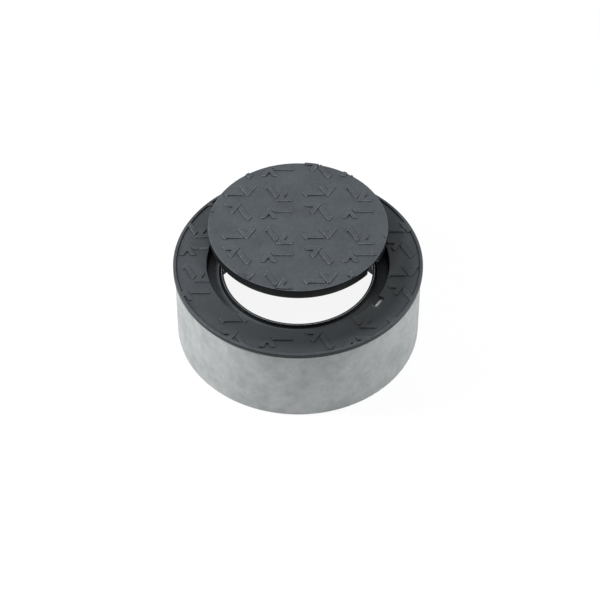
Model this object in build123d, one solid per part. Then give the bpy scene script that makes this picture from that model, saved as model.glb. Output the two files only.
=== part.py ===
"""Round manhole cover: a cast iron frame bedded in a precast concrete ring, with a loose cast iron lid.

The lid has been lifted out of its recess and slid back, and lies flat on the frame's tread.
The Z axis is the ring's axis, the floor is at Z = 0 and the lid is slid towards +Y. Sizes are in millimetres.
"""

from build123d import *
from math import ceil, sqrt
import os

# Overall sizes
frame_diameter = 500.0  # outside of the iron rim
cover_height = 180.0  # floor to the frame's face, which the closed lid lies flush with
clear_opening = 300.0  # the hole that stays free when the lid is off

# Iron frame
flange_thickness = 6.0
rim_depth = 7.0  # the outer edge reaches this far below the frame's face
rim_width = 6.0  # of the raised bead round the outer edge, and of the edge below it
seat_width = 32.8  # from the clear opening to the recess wall, at the frame's face
seat_thickness = 8.0
recess_wall = 5.0
lip_width = 4.0  # upstand round the clear opening
lip_height = 6.0
groove_width = 4.5  # channel between the lip and the bearing part of the seat
groove_depth = 2.0
casting_draft = 1.5  # the recess and the lid narrow by this much on the radius, towards the seat

# Lid
lid_thickness = 23.0
lid_clearance = 0.9  # between the lid's edge and the recess, on the radius
plate_thickness = 8.0
lid_rim_width = 10.0
rib_depth = 8.0  # below the plate
rib_width = 8.0
rib_count = 8
ring_rib_diameter = 170.0
boss_diameter = 50.0
lid_slide = 79.0  # how far the lid has been pushed back from its closed place
edge_break = 1.0  # chamfer on the outer corners of the castings

# Lifting slot in the frame, and the cut-out in the lid's rim that faces it when the lid is closed
lift_angle = -33.8  # about Z, from +X
lift_slot_width = 28.0
lift_slot_reach = 14.0  # outwards from the recess wall
cutout_width = 40.0
cutout_height = 19.0

# Concrete ring
concrete_wall = 41.0
rim_overhang = 3.0  # the iron rim stands out this far beyond the concrete
base_round = 3.0
haunch_setback = 10.0  # the haunch under the seat stops this far outside the clear opening
haunch_face = 12.0  # height of its upright inner face
haunch_slope = 46.0  # height over which it tapers out to the bore
bedding_gap = 0.3  # between the frame's upright walls and the concrete

# Anti-slip tread: three-ray figures, each a chevron and a hooked bar, on a rectangular repeat
tread_height = 3.0
tread_width = 9.0
tread_repeat_x = 163.5
tread_repeat_y = 122.8
chevron_arm = 35.0  # along its outer edge
bar_length = 40.0
hook_drop = 5.2
bar_gap = 5.0  # from the chevron's left arm to the bar's end
tread_figures = [  # place of the chevron's point within a repeat, and turn in degrees
    (-103.4, -42.4, 0.0),
    (-45.3, -55.2, -60.0),
    (-59.1, -74.4, 180.0),
    (-116.0, -62.8, 120.0),
]

# Radii and heights that follow from the sizes above
frame_radius = frame_diameter / 2
opening_radius = clear_opening / 2
recess_radius = opening_radius + seat_width
seat_radius = recess_radius - casting_draft
lid_radius = recess_radius - lid_clearance
lid_foot_radius = seat_radius - lid_clearance
bead_radius = frame_radius - rim_width
wall_radius = recess_radius + recess_wall
concrete_radius = frame_radius - rim_overhang
bore_radius = concrete_radius - concrete_wall
haunch_radius = opening_radius + haunch_setback

tread_top = cover_height + tread_height
flange_under = cover_height - flange_thickness
rim_foot = cover_height - rim_depth
seat_level = cover_height - lid_thickness
seat_under = seat_level - seat_thickness
haunch_foot = seat_under - haunch_face
bore_top = haunch_foot - haunch_slope
lid_foot = tread_top
lid_face = lid_foot + lid_thickness


def turned(*outline):
    """A solid of revolution about Z from (radius, height) corners."""
    face = make_face(Polyline(*[(radius, 0, height) for radius, height in outline], close=True))
    return revolve(face, Axis.Z)


def chevron():
    """Two arms at 60 degrees with the point at the origin, opening towards +Y, ends cut square to that."""
    across = tread_width * 2 / sqrt(3)
    end_x, end_y = chevron_arm / 2, chevron_arm * sqrt(3) / 2
    right = [(end_x, end_y), (end_x - across, end_y)]
    left = [(-x, y) for x, y in reversed(right)]
    return make_face(Polyline((0, 0), *right, (0, 2 * tread_width), *left, close=True))


def hooked_bar():
    """Bar that leads away from the chevron's point along -X, with slanted ends and a barb at the far one."""
    slant = tread_width / sqrt(3)
    barb = hook_drop / sqrt(3)
    near = -bar_gap * 2 / sqrt(3)
    low = bar_gap * 0.7
    high = low + tread_width
    far = near - slant - bar_length
    return make_face(
        Polyline(
            (near, low),
            (near - slant, high),
            (far, high),
            (far + slant + barb, low - hook_drop),
            (far + slant + 2 * barb, low),
            close=True,
        )
    )


def tread(zone):
    """Raised tread over a flat zone, standing on Z = 0, with the figures cut off at the zone's edge."""
    reach = zone.bounding_box().size.X / 2
    columns = ceil(reach / tread_repeat_x) + 1
    rows = ceil(reach / tread_repeat_y) + 1
    shapes = [chevron(), hooked_bar()]
    placed = []
    for column in range(-columns, columns + 1):
        for row in range(-rows, rows + 1):
            for x, y, turn in tread_figures:
                place = Location((x + column * tread_repeat_x, y + row * tread_repeat_y, 0), (0, 0, turn))
                if place.position.length < reach + chevron_arm + bar_length:
                    placed += [place * shape for shape in shapes]
    return extrude(Sketch(placed) & zone, tread_height, dir=(0, 0, 1))


def lift_box(inner, outer, width, low, high):
    """Upright box across the lifting direction, between two radii and two heights."""
    box = Box(outer - inner, width, high - low, align=(Align.MIN, Align.CENTER, Align.MIN))
    return Rot(0, 0, lift_angle) * Pos(inner, 0, low) * box


def concrete_ring():
    ring = turned(
        (bore_radius, 0),
        (concrete_radius, 0),
        (concrete_radius, rim_foot),
        (bead_radius - bedding_gap, rim_foot),
        (bead_radius - bedding_gap, flange_under),
        (wall_radius + bedding_gap, flange_under),
        (wall_radius + bedding_gap, seat_under),
        (haunch_radius, seat_under),
        (haunch_radius, haunch_foot),
        (bore_radius, bore_top),
    )
    base_edge = ring.edges().filter_by(GeomType.CIRCLE).group_by(Axis.Z)[0].sort_by(SortBy.RADIUS)[-1]
    return fillet(base_edge, base_round)


def frame():
    casting = turned(
        (frame_radius, rim_foot),
        (frame_radius, tread_top - edge_break),
        (frame_radius - edge_break, tread_top),
        (bead_radius + edge_break, tread_top),
        (bead_radius, tread_top - edge_break),
        (bead_radius, cover_height),
        (recess_radius + edge_break, cover_height),
        (recess_radius, cover_height - edge_break),
        (seat_radius, seat_level),
        (opening_radius + lip_width + groove_width, seat_level),
        (opening_radius + lip_width + groove_width, seat_level - groove_depth),
        (opening_radius + lip_width, seat_level - groove_depth),
        (opening_radius + lip_width, seat_level + lip_height),
        (opening_radius, seat_level + lip_height),
        (opening_radius, seat_under),
        (wall_radius, seat_under),
        (wall_radius, flange_under),
        (bead_radius, flange_under),
        (bead_radius, rim_foot),
    )
    zone = Circle(bead_radius) - Circle(recess_radius + edge_break)
    casting += Pos(0, 0, cover_height) * tread(zone)
    slot_end = recess_radius + lift_slot_reach
    return casting - lift_box(seat_radius - lip_width, slot_end, lift_slot_width, flange_under, tread_top)


def lid():
    """The lid about its own axis, with its foot at Z = 0."""
    plate_under = lid_thickness - plate_thickness
    rib_foot = plate_under - rib_depth
    inside = lid_foot_radius - lid_rim_width
    casting = turned(
        (0, plate_under),
        (inside, plate_under),
        (inside, 0),
        (lid_foot_radius, 0),
        (lid_radius, lid_thickness - edge_break),
        (lid_radius - edge_break, lid_thickness),
        (0, lid_thickness),
    )
    ring_radius = ring_rib_diameter / 2
    ribs = Circle(boss_diameter / 2) + (Circle(ring_radius) - Circle(ring_radius - rib_width))
    spoke = Pos(inside / 2, 0) * Rectangle(inside + lid_rim_width, rib_width)
    ribs += [Rot(0, 0, 360 * k / rib_count) * spoke for k in range(rib_count)]
    ribs = ribs & Circle(inside + lid_rim_width / 2)
    casting += Pos(0, 0, rib_foot) * extrude(ribs, rib_depth, dir=(0, 0, 1))
    casting += Pos(0, 0, lid_thickness) * tread(Circle(lid_radius - edge_break))
    return casting - lift_box(inside - rib_width, frame_radius, cutout_width, 0, cutout_height)


def write(name, shape):
    export_step(shape, os.path.join("parts", name + ".step"))


os.makedirs("parts", exist_ok=True)
write("concrete_ring", concrete_ring())
write("frame", frame())
write("lid", Pos(0, lid_slide, lid_foot) * lid())
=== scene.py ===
from math import cos, pi, radians, sin, sqrt, tan

import bmesh
import bpy
from mathutils import Matrix, Vector, noise


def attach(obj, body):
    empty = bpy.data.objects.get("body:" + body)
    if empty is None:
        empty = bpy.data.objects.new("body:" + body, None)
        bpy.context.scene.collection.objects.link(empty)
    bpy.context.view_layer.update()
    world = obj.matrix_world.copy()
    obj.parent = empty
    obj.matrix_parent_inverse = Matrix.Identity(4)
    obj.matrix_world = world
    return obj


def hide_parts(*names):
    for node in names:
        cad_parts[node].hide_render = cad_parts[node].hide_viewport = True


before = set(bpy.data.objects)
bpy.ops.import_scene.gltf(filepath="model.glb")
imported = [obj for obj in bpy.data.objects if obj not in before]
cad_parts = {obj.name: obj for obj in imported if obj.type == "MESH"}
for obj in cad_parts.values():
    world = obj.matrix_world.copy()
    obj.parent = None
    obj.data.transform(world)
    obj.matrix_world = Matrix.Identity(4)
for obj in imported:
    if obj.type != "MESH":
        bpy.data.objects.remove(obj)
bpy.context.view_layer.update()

# Concrete ring.
# Precast in a steel mould: light grey, with a bore that goes over the shaft pipe and a haunch inside that
# carries the iron frame's seat. It stands on the floor. Cement film clouds its skin, and air bubbles pit it.
MM = 0.001  # sizes are in millimetres
concrete_radius = 247.0
bore_radius = 206.0
bore_top = 91.0
haunch_radius = 160.0
haunch_foot = 137.0
throat_radius = 188.1  # takes the frame's recess wall
seat_bed = 149.0  # heights at which the frame's seat, flange and rim lie on the concrete
flange_bed = 174.0
rim_bed = 173.0
flange_bed_radius = 243.7
concrete_outline = [  # radius, height and rounding of each corner
    (bore_radius, 0.0, 2.0),
    (concrete_radius, 0.0, 3.0),
    (concrete_radius, rim_bed, 0.8),
    (flange_bed_radius, rim_bed, 0.2),
    (flange_bed_radius, flange_bed, 0.3),
    (throat_radius, flange_bed, 0.5),
    (throat_radius, seat_bed, 0.3),
    (haunch_radius, seat_bed, 1.5),
    (haunch_radius, haunch_foot, 3.0),
    (bore_radius, bore_top, 6.0),
]
concrete_segments = 480
concrete_run = 4.5  # length of a facet along the outline
skin_unevenness = 0.35  # how deep the mould marks and settled patches go
skin_patch = 46.0
edge_chip = 1.6  # deepest crumbled spot on the bottom arris
chip_width = 11.0
chip_reach = 7.0  # how far from the arris the concrete crumbles
foot_margin, bed_margin = 0.05, 0.5  # the foot, the beds and the haunch's face stay true
cement_cloud = 62.0  # widths of the patterns in the skin
cement_patch = 17.0
damp_patch = 38.0
sand_grain = 2.4
bubble_spacing = 13.0
slot_angle = -33.8  # direction of the frame's lifting slot, about Z from +X
slot_shade_radii = (191.8, 194.0)  # radii between which the painted shadow in the slot gets dark
slot_shade_along = (5.0, 12.0)  # and places along the slot


def linear(code):
    """An sRGB hex colour as linear RGBA."""
    channels = [int(code[i : i + 2], 16) / 255 for i in (1, 3, 5)]
    return [c / 12.92 if c <= 0.04045 else ((c + 0.055) / 1.055) ** 2.4 for c in channels] + [1.0]


def node(tree, kind, settings=None, inputs=None):
    """Adds a node. An input is a value, an output of another node, or a node, which gives its first output.

    A list of nodes goes to a socket that takes several.
    """
    made = tree.nodes.new(kind)
    for name, value in (settings or {}).items():
        setattr(made, name, value)
    for key, value in (inputs or {}).items():
        several = isinstance(value, list) and isinstance(value[0], bpy.types.Node)
        for feed in value if several else [value]:
            if isinstance(feed, bpy.types.Node):
                feed = feed.outputs[0]
            if isinstance(feed, bpy.types.NodeSocket):
                tree.links.new(feed, made.inputs[key])
            else:
                made.inputs[key].default_value = feed
    return made


def rounded(corners, arc_steps=4, room=0.45):
    """Points of a closed outline whose corners (x, y, rounding) are turned into arcs.

    An arc takes up at most the room share of each side next to it.
    """
    points = []
    for i, (x, y, rounding) in enumerate(corners):
        here = Vector((x, y))
        back = Vector(corners[i - 1][:2]) - here
        ahead = Vector(corners[(i + 1) % len(corners)][:2]) - here
        if rounding == 0:
            points.append(here)
            continue
        half = back.angle(ahead) / 2
        trim = min(rounding / tan(half), room * back.length, room * ahead.length)
        centre = here + (back.normalized() + ahead.normalized()).normalized() * trim / cos(half)
        first = here + back.normalized() * trim - centre
        last = here + ahead.normalized() * trim - centre
        sweep = first.angle_signed(last)
        for k in range(arc_steps + 1):
            points.append(centre + Matrix.Rotation(-sweep * k / arc_steps, 2) @ first)
    return points


def turned(outline, segments, run, axis_width=1e-6):
    """A bmesh of revolution about Z from a closed outline, with its long sides parted into runs."""
    points = []
    for i, here in enumerate(outline):
        ahead = outline[(i + 1) % len(outline)]
        on_axis = here.x < axis_width and ahead.x < axis_width
        parts = 1 if on_axis else max(1, round((ahead - here).length / run))
        points += [here.lerp(ahead, k / parts) for k in range(parts)]
    shape = bmesh.new()
    rings = []
    for s in range(segments):
        turn = 2 * pi * s / segments
        east, north = cos(turn), sin(turn)
        rings.append([shape.verts.new((p.x * east * MM, p.x * north * MM, p.y * MM)) for p in points])
    for s, ring in enumerate(rings):
        beside = rings[(s + 1) % segments]
        for i in range(len(points)):
            j = (i + 1) % len(points)
            if points[i].x > axis_width or points[j].x > axis_width:
                shape.faces.new((ring[i], beside[i], beside[j], ring[j]))
    bmesh.ops.remove_doubles(shape, verts=shape.verts, dist=0.001 * MM)
    bmesh.ops.recalc_face_normals(shape, faces=shape.faces)
    return shape


def finished(name, shape, material, sharp=40):
    """The piece's object, at the origin, smooth apart from edges that turn more than the sharp angle."""
    mesh = bpy.data.meshes.new(name)
    shape.to_mesh(mesh)
    shape.free()
    mesh.materials.clear()
    mesh.materials.append(material)
    mesh.shade_smooth()
    mesh.set_sharp_from_angle(angle=radians(sharp))
    piece = bpy.data.objects.new(name, mesh)
    bpy.context.scene.collection.objects.link(piece)
    return piece


# Cement-rich precast concrete: matt, with soft grey clouds, cooler where it is damp, fine sand and scattered
# open air bubbles, whose pits are painted darker as painted shade.
concrete = bpy.data.materials.new("precast_concrete")
concrete.use_nodes = True
tree = concrete.node_tree
skin = tree.nodes["Principled BSDF"]
place = node(tree, "ShaderNodeTexCoord").outputs["Object"]
cloud = node(
    tree,
    "ShaderNodeTexNoise",
    None,
    {"Vector": place, "Scale": 1 / (cement_cloud * MM), "Detail": 5.0, "Roughness": 0.62},
)
patch = node(
    tree,
    "ShaderNodeTexNoise",
    None,
    {"Vector": place, "Scale": 1 / (cement_patch * MM), "Detail": 4.0, "Roughness": 0.6},
)
sand = node(
    tree,
    "ShaderNodeTexNoise",
    None,
    {"Vector": place, "Scale": 1 / (sand_grain * MM), "Detail": 3.0, "Roughness": 0.7},
)
both = node(tree, "ShaderNodeMix", None, {0: 0.45, 2: cloud, 3: patch})
grained = node(tree, "ShaderNodeMix", None, {0: 0.16, 2: both, 3: sand})
greys = node(tree, "ShaderNodeValToRGB", None, {"Fac": grained})
greys.color_ramp.elements[0].position = 0.34
greys.color_ramp.elements[0].color = linear("#9fa4a4")
greys.color_ramp.elements[1].position = 0.68
greys.color_ramp.elements[1].color = linear("#c9cbc9")
greys.color_ramp.elements.new(0.5).color = linear("#b6b9b8")
drift = node(
    tree,
    "ShaderNodeTexNoise",
    {"noise_dimensions": "4D"},
    {"Vector": place, "W": 7.0, "Scale": 1 / (damp_patch * MM), "Detail": 3.0},
)
damp = node(tree, "ShaderNodeMapRange", None, {"Value": drift, "From Min": 0.38, "From Max": 0.64})
tinged = node(
    tree, "ShaderNodeMix", {"data_type": "RGBA"}, {0: damp, 6: linear("#bbbcbb"), 7: linear("#b3babc")}
)
hued = node(
    tree,
    "ShaderNodeMix",
    {"data_type": "RGBA", "blend_type": "COLOR"},
    {0: 0.36, 6: greys, 7: tinged.outputs[2]},
)
# Open air bubbles; the darker colour inside them is painted shade in the pits.
bubble = node(
    tree,
    "ShaderNodeTexVoronoi",
    {"feature": "F1"},
    {"Vector": place, "Scale": 1 / (bubble_spacing * MM), "Randomness": 1.0},
)
size = node(tree, "ShaderNodeSeparateColor", None, {"Color": bubble.outputs["Color"]})
reach = node(tree, "ShaderNodeMapRange", None, {"Value": size, "From Min": 0.72, "To Max": 0.15})
inside = node(
    tree, "ShaderNodeMath", {"operation": "SUBTRACT"}, {0: reach, 1: bubble.outputs["Distance"]}
)
pit = node(
    tree, "ShaderNodeMapRange", {"interpolation_type": "SMOOTHSTEP"}, {"Value": inside, "From Max": 0.06}
)
shaded = node(
    tree, "ShaderNodeMix", {"data_type": "RGBA"}, {0: pit, 6: hued.outputs[2], 7: linear("#747977")}
)
# Painted shadow on the bed that shows in the lifting slot, darkest along the slot's outer side and at one
# end.
height = node(tree, "ShaderNodeSeparateXYZ", None, {"Vector": place}).outputs["Z"]
flat = node(tree, "ShaderNodeVectorMath", {"operation": "MULTIPLY"}, {0: place, 1: (1.0, 1.0, 0.0)})
radius = node(tree, "ShaderNodeVectorMath", {"operation": "LENGTH"}, {0: flat}).outputs["Value"]
slot_length = (-sin(radians(slot_angle)), cos(radians(slot_angle)), 0.0)
along = node(tree, "ShaderNodeVectorMath", {"operation": "DOT_PRODUCT"}, {0: place, 1: slot_length})
bed = node(
    tree,
    "ShaderNodeMapRange",
    None,
    {"Value": height, "From Min": (flange_bed - 0.8) * MM, "From Max": (flange_bed - 0.4) * MM},
)
outer_side = node(
    tree,
    "ShaderNodeMapRange",
    None,
    {"Value": radius, "From Min": slot_shade_radii[0] * MM, "From Max": slot_shade_radii[1] * MM},
)
end_side = node(
    tree,
    "ShaderNodeMapRange",
    None,
    {
        "Value": along.outputs["Value"],
        "From Min": slot_shade_along[0] * MM,
        "From Max": slot_shade_along[1] * MM,
    },
)
near = node(tree, "ShaderNodeMath", {"operation": "MAXIMUM"}, {0: outer_side, 1: end_side})
slot_shade_depth = node(tree, "ShaderNodeMapRange", None, {"Value": near, "To Min": 0.42, "To Max": 0.97})
slot_shade = node(tree, "ShaderNodeMath", {"operation": "MULTIPLY"}, {0: bed, 1: slot_shade_depth})
# The slot's bed is painted dark here: painted shadow in the slot.
slot_shaded = node(
    tree, "ShaderNodeMix", {"data_type": "RGBA"}, {0: slot_shade, 6: shaded.outputs[2], 7: linear("#2c2f2f")}
)
tree.links.new(slot_shaded.outputs[2], skin.inputs["Base Color"])
dry = node(tree, "ShaderNodeMapRange", None, {"Value": patch, "To Min": 0.78, "To Max": 0.96})
tree.links.new(dry.outputs[0], skin.inputs["Roughness"])
skin.inputs["IOR"].default_value = 1.5
sunk = node(tree, "ShaderNodeMath", {"operation": "MULTIPLY_ADD"}, {0: pit, 1: -1.6, 2: sand})
relief = node(tree, "ShaderNodeBump", None, {"Strength": 0.55, "Distance": 0.6 * MM, "Height": sunk})
tree.links.new(relief.outputs[0], skin.inputs["Normal"])

shape = turned(rounded(concrete_outline), concrete_segments, concrete_run)
shape.normal_update()
for vert in shape.verts:
    spot = vert.co / MM
    dent = skin_unevenness * (0.5 + 0.5 * noise.fractal(spot / skin_patch, 1.0, 2.0, 3))
    arris = max(0.0, 1 - Vector((spot.xy.length - concrete_radius, spot.z)).length / chip_reach)
    dent += edge_chip * arris * max(0.0, noise.noise(spot / chip_width) - 0.25)
    if foot_margin < spot.z < rim_bed - bed_margin and spot.xy.length > haunch_radius + bed_margin:
        vert.co -= vert.normal * dent * MM
ring = finished("precast_ring", shape, concrete, sharp=60)
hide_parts("concrete_ring")
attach(ring, "root")

# Iron frame.
# One sand casting in ductile iron, dipped in a dark coating and bedded into the wet concrete. Its flange
# carries the tread and a bead round the rim; inside lie the recess for the lid, the grooved seat and the lip.
frame_radius = 250.0
bead_radius = 244.0  # inner side of the bead
recess_radius = 182.8
recess_draft = 1.5  # the recess narrows by this much towards the seat
wall_radius = 187.8  # outside of the recess wall
groove_radius = 158.5
groove_depth = 2.0
lip_radius = 154.0
lip_height = 6.0
opening_radius = 150.0
seat_height = 157.0
face_height = 180.0
tread_height = 3.0
tread_top = face_height + tread_height
groove_floor = seat_height - groove_depth
lip_top = seat_height + lip_height
line_from, line_to = 151.3, 152.8  # radii of the fine line sunk into the lip's top
line_slope = 0.3
line_floor = lip_top - 1.0
frame_outline = [  # radius, height and rounding of each corner
    (frame_radius, rim_bed, 0.8),
    (frame_radius, tread_top, 1.5),
    (bead_radius, tread_top, 1.0),
    (bead_radius, face_height, 1.0),
    (recess_radius, face_height, 1.2),
    (recess_radius - recess_draft, seat_height, 1.0),
    (groove_radius, seat_height, 0.7),
    (groove_radius, groove_floor, 0.6),
    (lip_radius, groove_floor, 0.6),
    (lip_radius, lip_top, 0.5),
    (line_to, lip_top, 0.2),
    (line_to - line_slope, line_floor, 0.2),
    (line_from + line_slope, line_floor, 0.2),
    (line_from, lip_top, 0.2),
    (opening_radius, lip_top, 0.5),
    (opening_radius, seat_bed, 0.8),
    (wall_radius, seat_bed, 0.8),
    (wall_radius, flange_bed, 0.0),
    (bead_radius, flange_bed, 0.3),
    (bead_radius, rim_bed, 0.3),
]
casting_segments = 360
casting_run = 8.0
frame_tread = (244.4, 184.0)  # outer and inner radius; it runs a little way into the bead
tread_width = 9.0
tread_repeat = (163.5, 122.8)
tread_columns, tread_rows = 5, 7
tread_figures = [  # place of the chevron's point within a repeat, and turn in degrees
    (-103.4, -42.4, 0.0),
    (-45.3, -55.2, -60.0),
    (-59.1, -74.4, 180.0),
    (-116.0, -62.8, 120.0),
]
chevron_arm = 35.0  # along its outer edge
bar_length = 40.0
hook_drop = 5.2
bar_gap = 5.0  # from the chevron's left arm to the bar's end
figure_corner = 1.6  # rounding of the figures, seen from above
foot_fillet = 0.45  # hollow where a bar meets the plate
crest_round = 0.55
crest_border = 0.25
narrow_crest = 0.8  # a crest's area over its perimeter, below which it has no room for a border
slot_width = 28.0
slot_from, slot_to = 177.3, 196.8  # radii
slot_low, slot_high = 173.4, 190.0  # the cut goes through the flange and clears the tread
coat_cloud = 48.0  # widths of the patterns in the coat
coat_blotch = 9.0
sand_mark = 1.2
# The sides' darker coat: partly the fresh coat, partly painted shade on sides that don't face up.
fresh_coat_and_shade = "#222527"
# Colour of dirt and painted shade in the hollows.
dirt_and_shade = "#0e1011"
stub_width = 8.0  # stubs of tread this near a casting's edge get less of the pale edges, wear and painted highlight
lip_shade_split = (152.4, 153.0)  # radii between the lip's inner part, darkened by dirt and painted shade, and its edge, lightened by rubbing and painted light
rub_and_light_reach = 10.0  # outwards from the lip
# The lid's painted shadow on the frame, laid on as a darker coat:
lid_shadow_most = 0.95  # most of the darker coat laid on as painted shadow
lid_shadow_side = (0.7, -0.71, 0.0)  # towards the side where the painted shadow is deepest
lid_shadow_from, lid_shadow_to = -77.0, 265.0  # places along that direction
lid_shadow_waver = 120.0  # how far the clouds shift those places
lid_shadow_thins = (215.0, 246.0)  # radii over which it thins out towards the rim
lid_shadow_seat = (179.0, 183.0)  # radii at the recess wall, inside which it is fuller
groove_dirt_and_shade = (156.8, 155.8)  # heights where the dirt and painted shade in the groove start and are full
dirt_and_shade_bands = [  # inner and outer radius, and the heights where the dirt and painted shade start and are full
    (182.6, 197.4, 177.5, 174.5),  # walls of the lifting slot
    (241.7, 244.1, 182.4, 181.2),  # strip along the bead's foot
]


def seat_rub_and_light(tree, radius, facing_up):
    """How much the level faces inside the recess are painted lighter, partly rubbed bare by the lid and
    partly painted light, most of all next to the lip.
    """
    recess = (recess_radius - 0.8) * MM  # short of the rounded corner at the frame's face
    seat = node(tree, "ShaderNodeMath", {"operation": "LESS_THAN"}, {0: radius, 1: recess})
    level = node(tree, "ShaderNodeMath", {"operation": "MULTIPLY"}, {0: seat, 1: facing_up})
    inward = node(
        tree,
        "ShaderNodeMapRange",
        None,
        {
            "Value": radius,
            "From Min": lip_radius * MM,
            "From Max": (lip_radius + rub_and_light_reach) * MM,
            "To Min": 0.85,
            "To Max": 0.3,
        },
    )
    brink = node(
        tree,
        "ShaderNodeMapRange",
        None,
        {"Value": radius, "From Min": lip_shade_split[0] * MM, "From Max": lip_shade_split[1] * MM},
    )
    bare_and_lit = node(tree, "ShaderNodeMath", {"operation": "MULTIPLY"}, {0: inward, 1: brink})
    return node(tree, "ShaderNodeMath", {"operation": "MULTIPLY"}, {0: level, 1: bare_and_lit})


def lid_shadow_coat(tree, place, radius, cloud):
    """How much of the darker coat goes on as the lid's painted shadow: more towards one side and on the seat,
    less at the rim and lip.
    """
    astray = node(tree, "ShaderNodeMath", {"operation": "MULTIPLY"}, {0: cloud, 1: lid_shadow_waver * MM})
    across = node(tree, "ShaderNodeVectorMath", {"operation": "DOT_PRODUCT"}, {0: place, 1: lid_shadow_side})
    side = node(tree, "ShaderNodeMath", {"operation": "ADD"}, {0: across.outputs["Value"], 1: astray})
    lid_shadow_share = node(
        tree,
        "ShaderNodeMapRange",
        None,
        {"Value": side, "From Min": lid_shadow_from * MM, "From Max": lid_shadow_to * MM, "To Max": lid_shadow_most},
    )
    inboard = node(
        tree,
        "ShaderNodeMapRange",
        None,
        {
            "Value": radius,
            "From Min": lid_shadow_thins[0] * MM,
            "From Max": lid_shadow_thins[1] * MM,
            "To Min": 1.0,
            "To Max": 0.15,
        },
    )
    seated = node(
        tree,
        "ShaderNodeMapRange",
        None,
        {
            "Value": radius,
            "From Min": lid_shadow_seat[0] * MM,
            "From Max": lid_shadow_seat[1] * MM,
            "To Min": 1.12,
            "To Max": 1.0,
        },
    )
    lip = (lip_radius + 0.5) * MM
    off_lip = node(tree, "ShaderNodeMath", {"operation": "GREATER_THAN"}, {0: radius, 1: lip})
    for share in (inboard, seated, off_lip):
        lid_shadow_share = node(tree, "ShaderNodeMath", {"operation": "MULTIPLY"}, {0: lid_shadow_share, 1: share})
    return node(tree, "ShaderNodeMath", {"operation": "MINIMUM"}, {0: lid_shadow_share, 1: lid_shadow_most})


def frame_dirt_and_shade(tree, radius, height):
    """How much dirt and painted shade lie in the groove, inside the lip's line, low in the slot and along the
    bead's foot.
    """
    groove = node(
        tree,
        "ShaderNodeMapRange",
        None,
        {"Value": height, "From Min": groove_dirt_and_shade[0] * MM, "From Max": groove_dirt_and_shade[1] * MM},
    )
    inner = node(
        tree,
        "ShaderNodeMapRange",
        None,
        {"Value": radius, "From Min": lip_shade_split[1] * MM, "From Max": lip_shade_split[0] * MM},
    )
    dirt_and_shade_share = node(tree, "ShaderNodeMath", {"operation": "MAXIMUM"}, {0: groove, 1: inner})
    for near, far, shade_starts, shade_full in dirt_and_shade_bands:
        middle, half = (near + far) / 2 * MM, (far - near) / 2 * MM
        within = node(tree, "ShaderNodeMath", {"operation": "COMPARE"}, {0: radius, 1: middle, 2: half})
        depth = node(
            tree,
            "ShaderNodeMapRange",
            None,
            {"Value": height, "From Min": shade_starts * MM, "From Max": shade_full * MM, "To Max": 0.8},
        )
        lying = node(tree, "ShaderNodeMath", {"operation": "MULTIPLY"}, {0: within, 1: depth})
        dirt_and_shade_share = node(tree, "ShaderNodeMath", {"operation": "MAXIMUM"}, {0: dirt_and_shade_share, 1: lying})
    return dirt_and_shade_share


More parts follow.
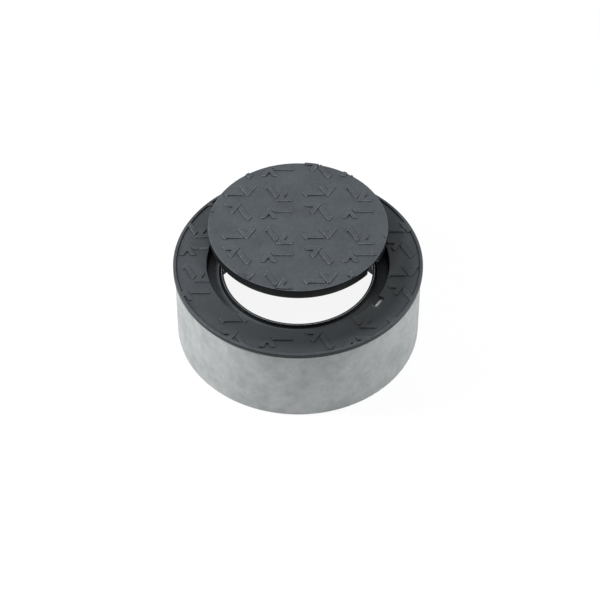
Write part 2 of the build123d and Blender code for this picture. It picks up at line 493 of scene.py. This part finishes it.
def coated_iron(name, dark, light, edge, axis, tread_limit, face=None, bears_lid=False):
    """Ductile iron in its coating: sides in a darker coat, partly fresh coat and partly painted shade, clouds
    on the tops, and paler edges, partly wear and partly painted highlight.

    The axis is the casting's own, and stubs of tread just inside the tread's limit about it get less of the
    pale edges.
    Where a face height is given, the sides that stand proud of it are partly coloured as tops.
    The casting that bears the lid has its seat painted lighter, partly rubbed bare and partly painted light,
    its hollows darkened with dirt and painted shade, and the painted shadow of the lid on one side.
    """
    # Smooth clouds in the coat, the fine grain of the moulding sand showing through, and paler edges, partly
    # polished by boots and tyres and partly painted highlight. The real sand grain is about 0.3 mm; it is
    # drawn four times as coarse so that it shows.
    material = bpy.data.materials.new(name)
    material.use_nodes = True
    tree = material.node_tree
    skin = tree.nodes["Principled BSDF"]
    place = node(tree, "ShaderNodeTexCoord").outputs["Object"]
    cloud = node(
        tree,
        "ShaderNodeTexNoise",
        None,
        {"Vector": place, "Scale": 1 / (coat_cloud * MM), "Detail": 4.0, "Roughness": 0.6},
    )
    blotch = node(
        tree,
        "ShaderNodeTexNoise",
        None,
        {"Vector": place, "Scale": 1 / (coat_blotch * MM), "Detail": 3.0, "Roughness": 0.65},
    )
    grain = node(
        tree,
        "ShaderNodeTexNoise",
        None,
        {"Vector": place, "Scale": 1 / (sand_mark * MM), "Detail": 2.0, "Roughness": 0.6},
    )
    tone = node(tree, "ShaderNodeMix", None, {0: 0.45, 2: cloud, 3: blotch})
    coat = node(tree, "ShaderNodeValToRGB", None, {"Fac": tone})
    coat.color_ramp.elements[0].position = 0.3
    coat.color_ramp.elements[0].color = linear(dark)
    coat.color_ramp.elements[1].position = 0.7
    coat.color_ramp.elements[1].color = linear(light)

    surface = node(tree, "ShaderNodeNewGeometry").outputs
    facing = node(tree, "ShaderNodeSeparateXYZ", None, {"Vector": surface["Normal"]}).outputs["Z"]
    height = node(tree, "ShaderNodeSeparateXYZ", None, {"Vector": place}).outputs["Z"]
    shift = (-axis[0] * MM, -axis[1] * MM, 0.0)
    flat = node(
        tree, "ShaderNodeVectorMath", {"operation": "MULTIPLY_ADD"}, {0: place, 1: (1.0, 1.0, 0.0), 2: shift}
    )
    radius = node(tree, "ShaderNodeVectorMath", {"operation": "LENGTH"}, {0: flat}).outputs["Value"]

    # Faces that don't face up get the darker coat, partly fresh coat and partly painted shade.
    facing_up = node(tree, "ShaderNodeMapRange", None, {"Value": facing, "From Min": 0.4, "From Max": 0.9})
    top_share = facing_up
    if face is not None:
        proud = node(
            tree,
            "ShaderNodeMapRange",
            None,
            {"Value": height, "From Min": (face + 0.1) * MM, "From Max": (face + 0.3) * MM, "To Max": 0.25},
        )
        top_share = node(tree, "ShaderNodeMath", {"operation": "MAXIMUM"}, {0: facing_up, 1: proud})
    coat_with_side_shade = node(
        tree, "ShaderNodeMix", {"data_type": "RGBA"}, {0: top_share, 6: linear(fresh_coat_and_shade), 7: coat}
    )

    # Convex edges turn paler: partly wear, partly a painted highlight.
    raised = node(
        tree,
        "ShaderNodeMapRange",
        None,
        {"Value": surface["Pointiness"], "From Min": 0.515, "From Max": 0.56, "To Max": 1.2},
    )
    half = stub_width / 2 * MM
    middle = tread_limit * MM - half
    stub = node(tree, "ShaderNodeMath", {"operation": "COMPARE"}, {0: radius, 1: middle, 2: half})
    less_wear_and_highlight = node(tree, "ShaderNodeMapRange", None, {"Value": stub, "To Min": 1.0, "To Max": 0.3})
    edge_wear_and_highlight = node(tree, "ShaderNodeMath", {"operation": "MULTIPLY"}, {0: raised, 1: less_wear_and_highlight})
    rubbed_and_lit = node(tree, "ShaderNodeMath", {"operation": "MULTIPLY"}, {0: edge_wear_and_highlight, 1: blotch})
    # The seat inside the recess is painted lighter: partly rubbed bare by the lid, partly painted light where
    # the lid shades it.
    if bears_lid:
        seat = seat_rub_and_light(tree, radius, facing_up)
        rubbed_and_lit = node(tree, "ShaderNodeMath", {"operation": "ADD", "use_clamp": True}, {0: seat, 1: rubbed_and_lit})
    colour = node(
        tree, "ShaderNodeMix", {"data_type": "RGBA"}, {0: rubbed_and_lit, 6: coat_with_side_shade.outputs[2], 7: linear(edge)}
    )

    # Concave corners darken: dirt and painted shade.
    dirt_and_shade_share = node(
        tree,
        "ShaderNodeMapRange",
        None,
        {"Value": surface["Pointiness"], "From Min": 0.495, "From Max": 0.45, "To Max": 0.9},
    )
    if bears_lid:
        # Painted shadow of the lid: the frame's coat is darkened towards one side and on the seat.
        lid_shadow_share = lid_shadow_coat(tree, place, radius, cloud)
        colour = node(
            tree,
            "ShaderNodeMix",
            {"data_type": "RGBA"},
            {0: lid_shadow_share, 6: colour.outputs[2], 7: linear(fresh_coat_and_shade)},
        )
        # The groove, the lip's inner part, the slot's walls and the bead's foot darken: dirt and painted
        # shade.
        hollow_dirt_and_shade = frame_dirt_and_shade(tree, radius, height)
        dirt_and_shade_share = node(tree, "ShaderNodeMath", {"operation": "MAXIMUM"}, {0: dirt_and_shade_share, 1: hollow_dirt_and_shade})
    colour = node(
        tree, "ShaderNodeMix", {"data_type": "RGBA"}, {0: dirt_and_shade_share, 6: colour.outputs[2], 7: linear(dirt_and_shade)}
    )
    tree.links.new(colour.outputs[2], skin.inputs["Base Color"])
    satin = node(tree, "ShaderNodeMapRange", None, {"Value": blotch, "To Min": 0.34, "To Max": 0.52})
    tree.links.new(satin.outputs[0], skin.inputs["Roughness"])
    skin.inputs["IOR"].default_value = 1.5
    skin.inputs["Specular IOR Level"].default_value = 0.2
    relief = node(tree, "ShaderNodeBump", None, {"Strength": 0.35, "Distance": 0.25 * MM, "Height": grain})
    tree.links.new(relief.outputs[0], skin.inputs["Normal"])
    return material


# The frame's coat is set darker than the lid's, partly as a coat walked on less and partly as painted shade.
frame_iron = coated_iron(
    "coated_ductile_iron",
    dark="#393d40",
    light="#4a4e52",
    edge="#868b90",
    axis=(0.0, 0.0),
    tread_limit=bead_radius - 0.1,
    bears_lid=True,
)


def offset(points, distance):
    """A closed counter-clockwise outline moved outwards by a distance."""
    moved = []
    for i, here in enumerate(points):
        one = (here - points[i - 1]).normalized()
        two = (points[(i + 1) % len(points)] - here).normalized()
        first, second = Vector((one.y, -one.x)), Vector((two.y, -two.x))
        moved.append(here + (first + second) * distance / (1 + first.dot(second)))
    return moved


def raise_bar(shape, points, height, fillet, crest, root=0.8, flat=0.5):
    """Adds a closed bar on Z = 0, in millimetres, with a hollow fillet at its foot and a rounded crest.

    The root is how far it goes into the plate, and the flat is the width of a level band inside the crest.
    """
    quarter = (0, pi / 6, pi / 3, pi / 2)
    loops = [(fillet, -root)]
    loops += [(fillet * (1 - sin(a)), fillet * (1 - cos(a))) for a in quarter]
    loops += [(-crest * (1 - cos(a)), height - crest * (1 - sin(a))) for a in quarter]
    loops += [(-crest - flat, height)]
    rings = []
    for out, up in loops:
        rings.append([shape.verts.new((p.x * MM, p.y * MM, up * MM)) for p in offset(points, out)])
    for low, high in zip(rings, rings[1:]):
        for i in range(len(points)):
            j = (i + 1) % len(points)
            shape.faces.new((low[i], low[j], high[j], high[i]))
    shape.faces.new(rings[-1])
    shape.faces.new(list(reversed(rings[0])))


def as_mesh(shape, name):
    """A bmesh put into a mesh."""
    mesh = bpy.data.meshes.new(name)
    shape.to_mesh(mesh)
    shape.free()
    return mesh


def tread_repeat_mesh():
    """One repeat of the tread: four figures, each a chevron and a hooked bar."""
    across = tread_width * 2 / sqrt(3)
    end_x, end_y = chevron_arm / 2, chevron_arm * sqrt(3) / 2
    chevron = [(0, 0), (end_x, end_y), (end_x - across, end_y), (0, 2 * tread_width)]
    chevron += [(across - end_x, end_y), (-end_x, end_y)]
    slant, barb = tread_width / sqrt(3), hook_drop / sqrt(3)
    near, low = -bar_gap * 2 / sqrt(3), bar_gap * 0.7
    far = near - slant - bar_length
    bar = [(near, low), (near - slant, low + tread_width), (far, low + tread_width)]
    bar += [(far + slant + barb, low - hook_drop), (far + slant + 2 * barb, low)]
    shape = bmesh.new()
    for x, y, turn in tread_figures:
        spin = Matrix.Rotation(radians(turn), 2)
        for outline in (chevron, bar):
            corners = [(*(spin @ Vector(point) + Vector((x, y))), figure_corner) for point in outline]
            raise_bar(shape, rounded(corners, 3), tread_height, foot_fillet, crest_round)
    return as_mesh(shape, "tread_repeat")


tread_tree = bpy.data.node_groups.new("tread_field", "GeometryNodeTree")
for name, kind in (
    ("Repeat", "NodeSocketGeometry"),
    ("Repeat X", "NodeSocketFloat"),
    ("Repeat Y", "NodeSocketFloat"),
    ("Columns", "NodeSocketInt"),
    ("Rows", "NodeSocketInt"),
    ("Outer Radius", "NodeSocketFloat"),
    ("Inner Radius", "NodeSocketFloat"),
    ("Open Middle", "NodeSocketBool"),
    ("Iron", "NodeSocketMaterial"),
):
    tread_tree.interface.new_socket(name, in_out="INPUT", socket_type=kind)
tread_tree.interface.new_socket("Tread", in_out="OUTPUT", socket_type="NodeSocketGeometry")
sizes = node(tread_tree, "NodeGroupInput").outputs
gaps_x = node(tread_tree, "ShaderNodeMath", {"operation": "SUBTRACT"}, {0: sizes["Columns"], 1: 1.0})
gaps_y = node(tread_tree, "ShaderNodeMath", {"operation": "SUBTRACT"}, {0: sizes["Rows"], 1: 1.0})
wide = node(tread_tree, "ShaderNodeMath", {"operation": "MULTIPLY"}, {0: gaps_x, 1: sizes["Repeat X"]})
long = node(tread_tree, "ShaderNodeMath", {"operation": "MULTIPLY"}, {0: gaps_y, 1: sizes["Repeat Y"]})
grid = node(
    tread_tree,
    "GeometryNodeMeshGrid",
    None,
    {"Size X": wide, "Size Y": long, "Vertices X": sizes["Columns"], "Vertices Y": sizes["Rows"]},
)
laid = node(tread_tree, "GeometryNodeInstanceOnPoints", None, {"Points": grid, "Instance": sizes["Repeat"]})
bars = node(tread_tree, "GeometryNodeRealizeInstances", None, {"Geometry": laid})
disc = node(
    tread_tree,
    "GeometryNodeMeshCylinder",
    None,
    {"Vertices": casting_segments, "Radius": sizes["Outer Radius"], "Depth": 20 * MM},
)
core = node(
    tread_tree,
    "GeometryNodeMeshCylinder",
    None,
    {"Vertices": casting_segments, "Radius": sizes["Inner Radius"], "Depth": 30 * MM},
)
band = node(
    tread_tree,
    "GeometryNodeMeshBoolean",
    {"operation": "DIFFERENCE", "solver": "EXACT"},
    {0: disc, 1: core},
)
zone = node(
    tread_tree,
    "GeometryNodeSwitch",
    {"input_type": "GEOMETRY"},
    {"Switch": sizes["Open Middle"], "False": disc, "True": band},
)
trimmed = node(
    tread_tree,
    "GeometryNodeMeshBoolean",
    {"operation": "INTERSECT", "solver": "EXACT"},
    {1: [bars, zone]},
)
coated = node(tread_tree, "GeometryNodeSetMaterial", None, {"Geometry": trimmed, "Material": sizes["Iron"]})
node(tread_tree, "NodeGroupOutput", None, {"Tread": coated})


def settings_of(modifier, **values):
    """Sets a node modifier's inputs, given with _ for a space, by their sockets' identifiers."""
    for item in modifier.node_group.interface.items_tree:
        key = item.name.replace(" ", "_")
        if item.in_out == "INPUT" and key in values:
            modifier[item.identifier] = values[key]


def plain_mesh(piece):
    """The piece's evaluated mesh, on its own, with the piece taken away."""
    mesh = bpy.data.meshes.new_from_object(piece.evaluated_get(bpy.context.evaluated_depsgraph_get()))
    bpy.data.objects.remove(piece)
    return mesh


def border_crests(shape):
    """Draws a border on each crest, cut ones too, so that the rubbed edge stays narrow.

    Where the border folds over itself, its inner edge is drawn together to a point.
    """
    crests = [
        face
        for face in shape.faces
        if face.calc_center_median().z > (tread_height - 0.05) * MM
        and face.calc_area() > narrow_crest * MM * face.calc_perimeter()
    ]
    border = bmesh.ops.inset_individual(
        shape, faces=crests, thickness=crest_border * MM, use_even_offset=True
    )["faces"]
    inside = {vert for face in crests for vert in face.verts}
    folded = []
    for face in border:
        for one in face.loops:
            two, far, back = one.link_loop_next, one.link_loop_next.link_loop_next, one.link_loop_prev
            outer_pair = one.vert not in inside and two.vert not in inside
            if outer_pair and far.vert in inside and back.vert in inside:
                if (two.vert.co - one.vert.co).dot(far.vert.co - back.vert.co) < 0:
                    folded.append(far.edge)
    bmesh.ops.collapse(shape, edges=folded)


def tread(outer, inner, height, iron):
    """The tread that fits between two radii, at a height, as a mesh."""
    field = bpy.data.objects.new("tread_field", tread_repeat_mesh())
    bpy.context.scene.collection.objects.link(field)
    laying = field.modifiers.new("tread_field", "NODES")
    laying.node_group = tread_tree
    settings_of(
        laying,
        Repeat_X=tread_repeat[0] * MM,
        Repeat_Y=tread_repeat[1] * MM,
        Columns=tread_columns,
        Rows=tread_rows,
        Outer_Radius=outer * MM,
        Inner_Radius=max(inner, 1.0) * MM,
        Open_Middle=inner > 0,
        Iron=iron,
    )
    mesh = plain_mesh(field)
    shape = bmesh.new()
    shape.from_mesh(mesh)
    border_crests(shape)
    shape.to_mesh(mesh)
    shape.free()
    mesh.transform(Matrix.Translation((0, 0, height * MM)))
    return mesh


def cut_box(mesh, angle, near, far, width, low, high, edge=0.7):
    """The mesh less an upright box that lies at an angle about Z, with its new corners eased, as a bmesh."""
    box = bmesh.new()
    bmesh.ops.create_cube(box, size=1.0)
    span = Matrix.Diagonal((*(Vector((far - near, width, high - low)) * MM), 1))
    middle = Matrix.Translation(Vector(((near + far) / 2, 0, (low + high) / 2)) * MM)
    turn = Matrix.Rotation(radians(angle), 4, "Z")
    bmesh.ops.transform(box, verts=box.verts, matrix=turn @ middle @ span)
    tool = bpy.data.objects.new("cutter", as_mesh(box, "cutter"))
    piece = bpy.data.objects.new("casting", mesh)
    for thing in (tool, piece):
        bpy.context.scene.collection.objects.link(thing)
    cut = piece.modifiers.new("cut", "BOOLEAN")
    cut.operation, cut.solver, cut.object = "DIFFERENCE", "EXACT", tool
    eased = piece.modifiers.new("eased", "BEVEL")
    eased.width, eased.segments = edge * MM, 2
    eased.limit_method, eased.angle_limit = "ANGLE", radians(50)
    result = bmesh.new()
    result.from_mesh(plain_mesh(piece))
    bpy.data.objects.remove(tool)
    return result


body = as_mesh(turned(rounded(frame_outline), casting_segments, casting_run), "casting")
shape = cut_box(body, slot_angle, slot_from, slot_to, slot_width, slot_low, slot_high)
shape.from_mesh(tread(*frame_tread, face_height, frame_iron))
casting = finished("frame_casting", shape, frame_iron)
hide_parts("frame")
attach(casting, "root")

# Lid.
# A second ductile iron casting: a plate with the same tread on top and a deep rim, radial ribs and a ring
# below, with a gap in the rim for the lifting key. It is loose, and lies slid back on the frame's tread.
lid_radius = 181.9
lid_foot_radius = 180.4
lid_thickness = 23.0
lid_rim_inside = 170.4
lid_tread_radius = 180.9
lid_slide = 79.0
lid_place = (0.0, lid_slide, tread_top)
plate_under = 15.0  # heights from the lid's foot
rib_foot = 7.0
ring_rib_from, ring_rib_to = 77.0, 85.0
boss_radius = 25.0
lid_outline = [  # radius, height and rounding of each corner
    (0.0, rib_foot, 0.0),
    (boss_radius, rib_foot, 1.5),
    (boss_radius, plate_under, 2.0),
    (ring_rib_from, plate_under, 2.0),
    (ring_rib_from, rib_foot, 1.5),
    (ring_rib_to, rib_foot, 1.5),
    (ring_rib_to, plate_under, 2.0),
    (lid_rim_inside, plate_under, 3.0),
    (lid_rim_inside, 0.0, 1.2),
    (lid_foot_radius, 0.0, 1.2),
    (lid_radius, lid_thickness, 1.3),
    (0.0, lid_thickness, 0.0),
]
rib_count = 8
rib_half_width = 4.0
rib_from, rib_to = 20.0, 173.0
rib_depth = 7.8  # a touch less than the ring rib and the boss, so that those run through
rib_corner = 1.0
rib_fillet = 1.6
rib_round = 1.4
cutout_width = 40.0
cutout_from, cutout_to = 162.4, 190.0  # the cut starts inside the rim and ends clear of it
cutout_low, cutout_height = -5.0, 19.0

# The lid's coat is paler than the frame's, partly as trodden and rubbed dry and partly because the frame's
# darker coat is painted shade.
lid_iron = coated_iron(
    "trodden_ductile_iron",
    dark="#43474b",
    light="#54595d",
    edge="#9a9fa4",
    axis=lid_place[:2],
    tread_limit=lid_tread_radius,
    face=lid_place[2] + lid_thickness,
)

rib_tree = bpy.data.node_groups.new("rib_spokes", "GeometryNodeTree")
for name, kind in (
    ("Rib", "NodeSocketGeometry"),
    ("Count", "NodeSocketInt"),
    ("Iron", "NodeSocketMaterial"),
):
    rib_tree.interface.new_socket(name, in_out="INPUT", socket_type=kind)
rib_tree.interface.new_socket("Ribs", in_out="OUTPUT", socket_type="NodeSocketGeometry")
sizes = node(rib_tree, "NodeGroupInput").outputs
hub = node(rib_tree, "GeometryNodePoints", None, {"Count": sizes["Count"]})
which = node(rib_tree, "GeometryNodeInputIndex")
step = node(rib_tree, "ShaderNodeMath", {"operation": "DIVIDE"}, {0: 2 * pi, 1: sizes["Count"]})
turn = node(rib_tree, "ShaderNodeMath", {"operation": "MULTIPLY"}, {0: which, 1: step})
about = node(rib_tree, "ShaderNodeCombineXYZ", None, {"Z": turn})
spokes = node(
    rib_tree,
    "GeometryNodeInstanceOnPoints",
    None,
    {"Points": hub, "Instance": sizes["Rib"], "Rotation": about},
)
solid = node(rib_tree, "GeometryNodeRealizeInstances", None, {"Geometry": spokes})
coated = node(rib_tree, "GeometryNodeSetMaterial", None, {"Geometry": solid, "Material": sizes["Iron"]})
node(rib_tree, "NodeGroupOutput", None, {"Ribs": coated})

shape = bmesh.new()
spoke = [
    (rib_from, -rib_half_width, rib_corner),
    (rib_to, -rib_half_width, rib_corner),
    (rib_to, rib_half_width, rib_corner),
    (rib_from, rib_half_width, rib_corner),
]
raise_bar(shape, rounded(spoke, 2), rib_depth, rib_fillet, rib_round)
bmesh.ops.transform(shape, verts=shape.verts, matrix=Matrix.Rotation(pi, 4, "X"))
bmesh.ops.translate(shape, verts=shape.verts, vec=(0, 0, plate_under * MM))
ribs = bpy.data.objects.new("lid_ribs", as_mesh(shape, "lid_ribs"))
bpy.context.scene.collection.objects.link(ribs)
spread = ribs.modifiers.new("rib_spokes", "NODES")
spread.node_group = rib_tree
settings_of(spread, Count=rib_count, Iron=lid_iron)
rib_mesh = plain_mesh(ribs)

body = as_mesh(turned(rounded(lid_outline), casting_segments, casting_run), "casting")
shape = cut_box(body, slot_angle, cutout_from, cutout_to, cutout_width, cutout_low, cutout_height)
shape.from_mesh(rib_mesh)
shape.from_mesh(tread(lid_tread_radius, 0.0, lid_thickness, lid_iron))
bmesh.ops.translate(shape, verts=shape.verts, vec=Vector(lid_place) * MM)
lid = finished("lid_casting", shape, lid_iron)
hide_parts("lid")
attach(lid, "root")

# Studio, in metres.
# A plain white floor and a pale, slightly cool surround, a broad lamp high on the left, a smaller one further
# off on the right, and a long lens that looks down on the cover as the photograph does.
floor_size = 12.0
floor_glow = 0.9
surround = (0.33, 0.45)  # its strength towards the front and the back
lamps = (  # name, place, width and power
    ("lamp_left", (-1.3, -0.12, 1.36), 0.5, 22.5),
    ("lamp_right", (1.78, 0.12, 1.5), 0.4, 21.0),
)
lamp_aim = Vector((0, 0, 0.15))
camera_place = Vector((0.0, -2.925, 3.232))
camera_aim = Vector((0, 0, 0.183))


def seen_ray(tree):
    """1 for the rays that show the background: from the camera, mirrored or through glass."""
    ray = node(tree, "ShaderNodeLightPath").outputs
    seen = node(
        tree, "ShaderNodeMath", {"operation": "MAXIMUM"}, {0: ray["Is Camera Ray"], 1: ray["Is Glossy Ray"]}
    )
    return node(tree, "ShaderNodeMath", {"operation": "MAXIMUM"}, {0: seen, 1: ray["Is Transmission Ray"]})


def aimed(name, data, place, aim):
    """Puts a lamp or a camera at a place, looking at its aim."""
    stand = bpy.data.objects.new(name, data)
    stand.location = place
    stand.rotation_euler = (aim - Vector(place)).to_track_quat("-Z", "Y").to_euler()
    bpy.context.scene.collection.objects.link(stand)
    return stand


# Matt white paper. Seen, it glows nearly white and still takes the shadow; it lights the cover as paper does.
floor_white = bpy.data.materials.new("white_floor")
floor_white.use_nodes = True
tree = floor_white.node_tree
tree.nodes.remove(tree.nodes["Principled BSDF"])
seen = seen_ray(tree)
shown = node(tree, "ShaderNodeMapRange", None, {"Value": seen, "To Min": 0.86, "To Max": 0.13})
paint = node(tree, "ShaderNodeBsdfDiffuse", None, {"Color": shown})
white = node(tree, "ShaderNodeMath", {"operation": "MULTIPLY"}, {0: seen, 1: floor_glow})
glow = node(tree, "ShaderNodeEmission", None, {"Color": linear("#ffffff"), "Strength": white})
blend = node(tree, "ShaderNodeAddShader", None, {0: paint, 1: glow})
tree.links.new(blend.outputs[0], tree.nodes["Material Output"].inputs["Surface"])

ground = bmesh.new()
bmesh.ops.create_grid(ground, x_segments=1, y_segments=1, size=floor_size)
floor = finished("floor", ground, floor_white)

world = bpy.data.worlds.new("pale_surround")
bpy.context.scene.world = world
world.use_nodes = True
tree = world.node_tree
seen = seen_ray(tree)
toward = node(tree, "ShaderNodeTexCoord").outputs["Generated"]
toward_back = node(tree, "ShaderNodeSeparateXYZ", None, {"Vector": toward}).outputs["Y"]
dim = node(
    tree,
    "ShaderNodeMapRange",
    None,
    {
        "Value": toward_back,
        "From Min": -0.9,
        "From Max": 0.9,
        "To Min": surround[0],
        "To Max": surround[1],
    },
)
level = node(tree, "ShaderNodeMix", None, {0: seen, 2: dim, 3: 1.0})
tree.links.new(level.outputs[0], tree.nodes["Background"].inputs["Strength"])
cool = node(
    tree, "ShaderNodeMix", {"data_type": "RGBA"}, {0: seen, 6: linear("#f9fcff"), 7: linear("#ffffff")}
)
tree.links.new(cool.outputs[2], tree.nodes["Background"].inputs["Color"])

for name, place, width, power in lamps:
    lamp = bpy.data.lights.new(name, "AREA")
    lamp.shape, lamp.size, lamp.energy = "DISK", width, power
    aimed(name, lamp, place, lamp_aim)

lens = bpy.data.cameras.new("camera")
lens.sensor_width, lens.lens = 36.0, 126.75
lens.shift_x, lens.shift_y = 0.0033, -0.0646
bpy.context.scene.camera = aimed("camera", lens, camera_place, camera_aim)
bpy.context.scene.view_settings.view_transform = "Standard"
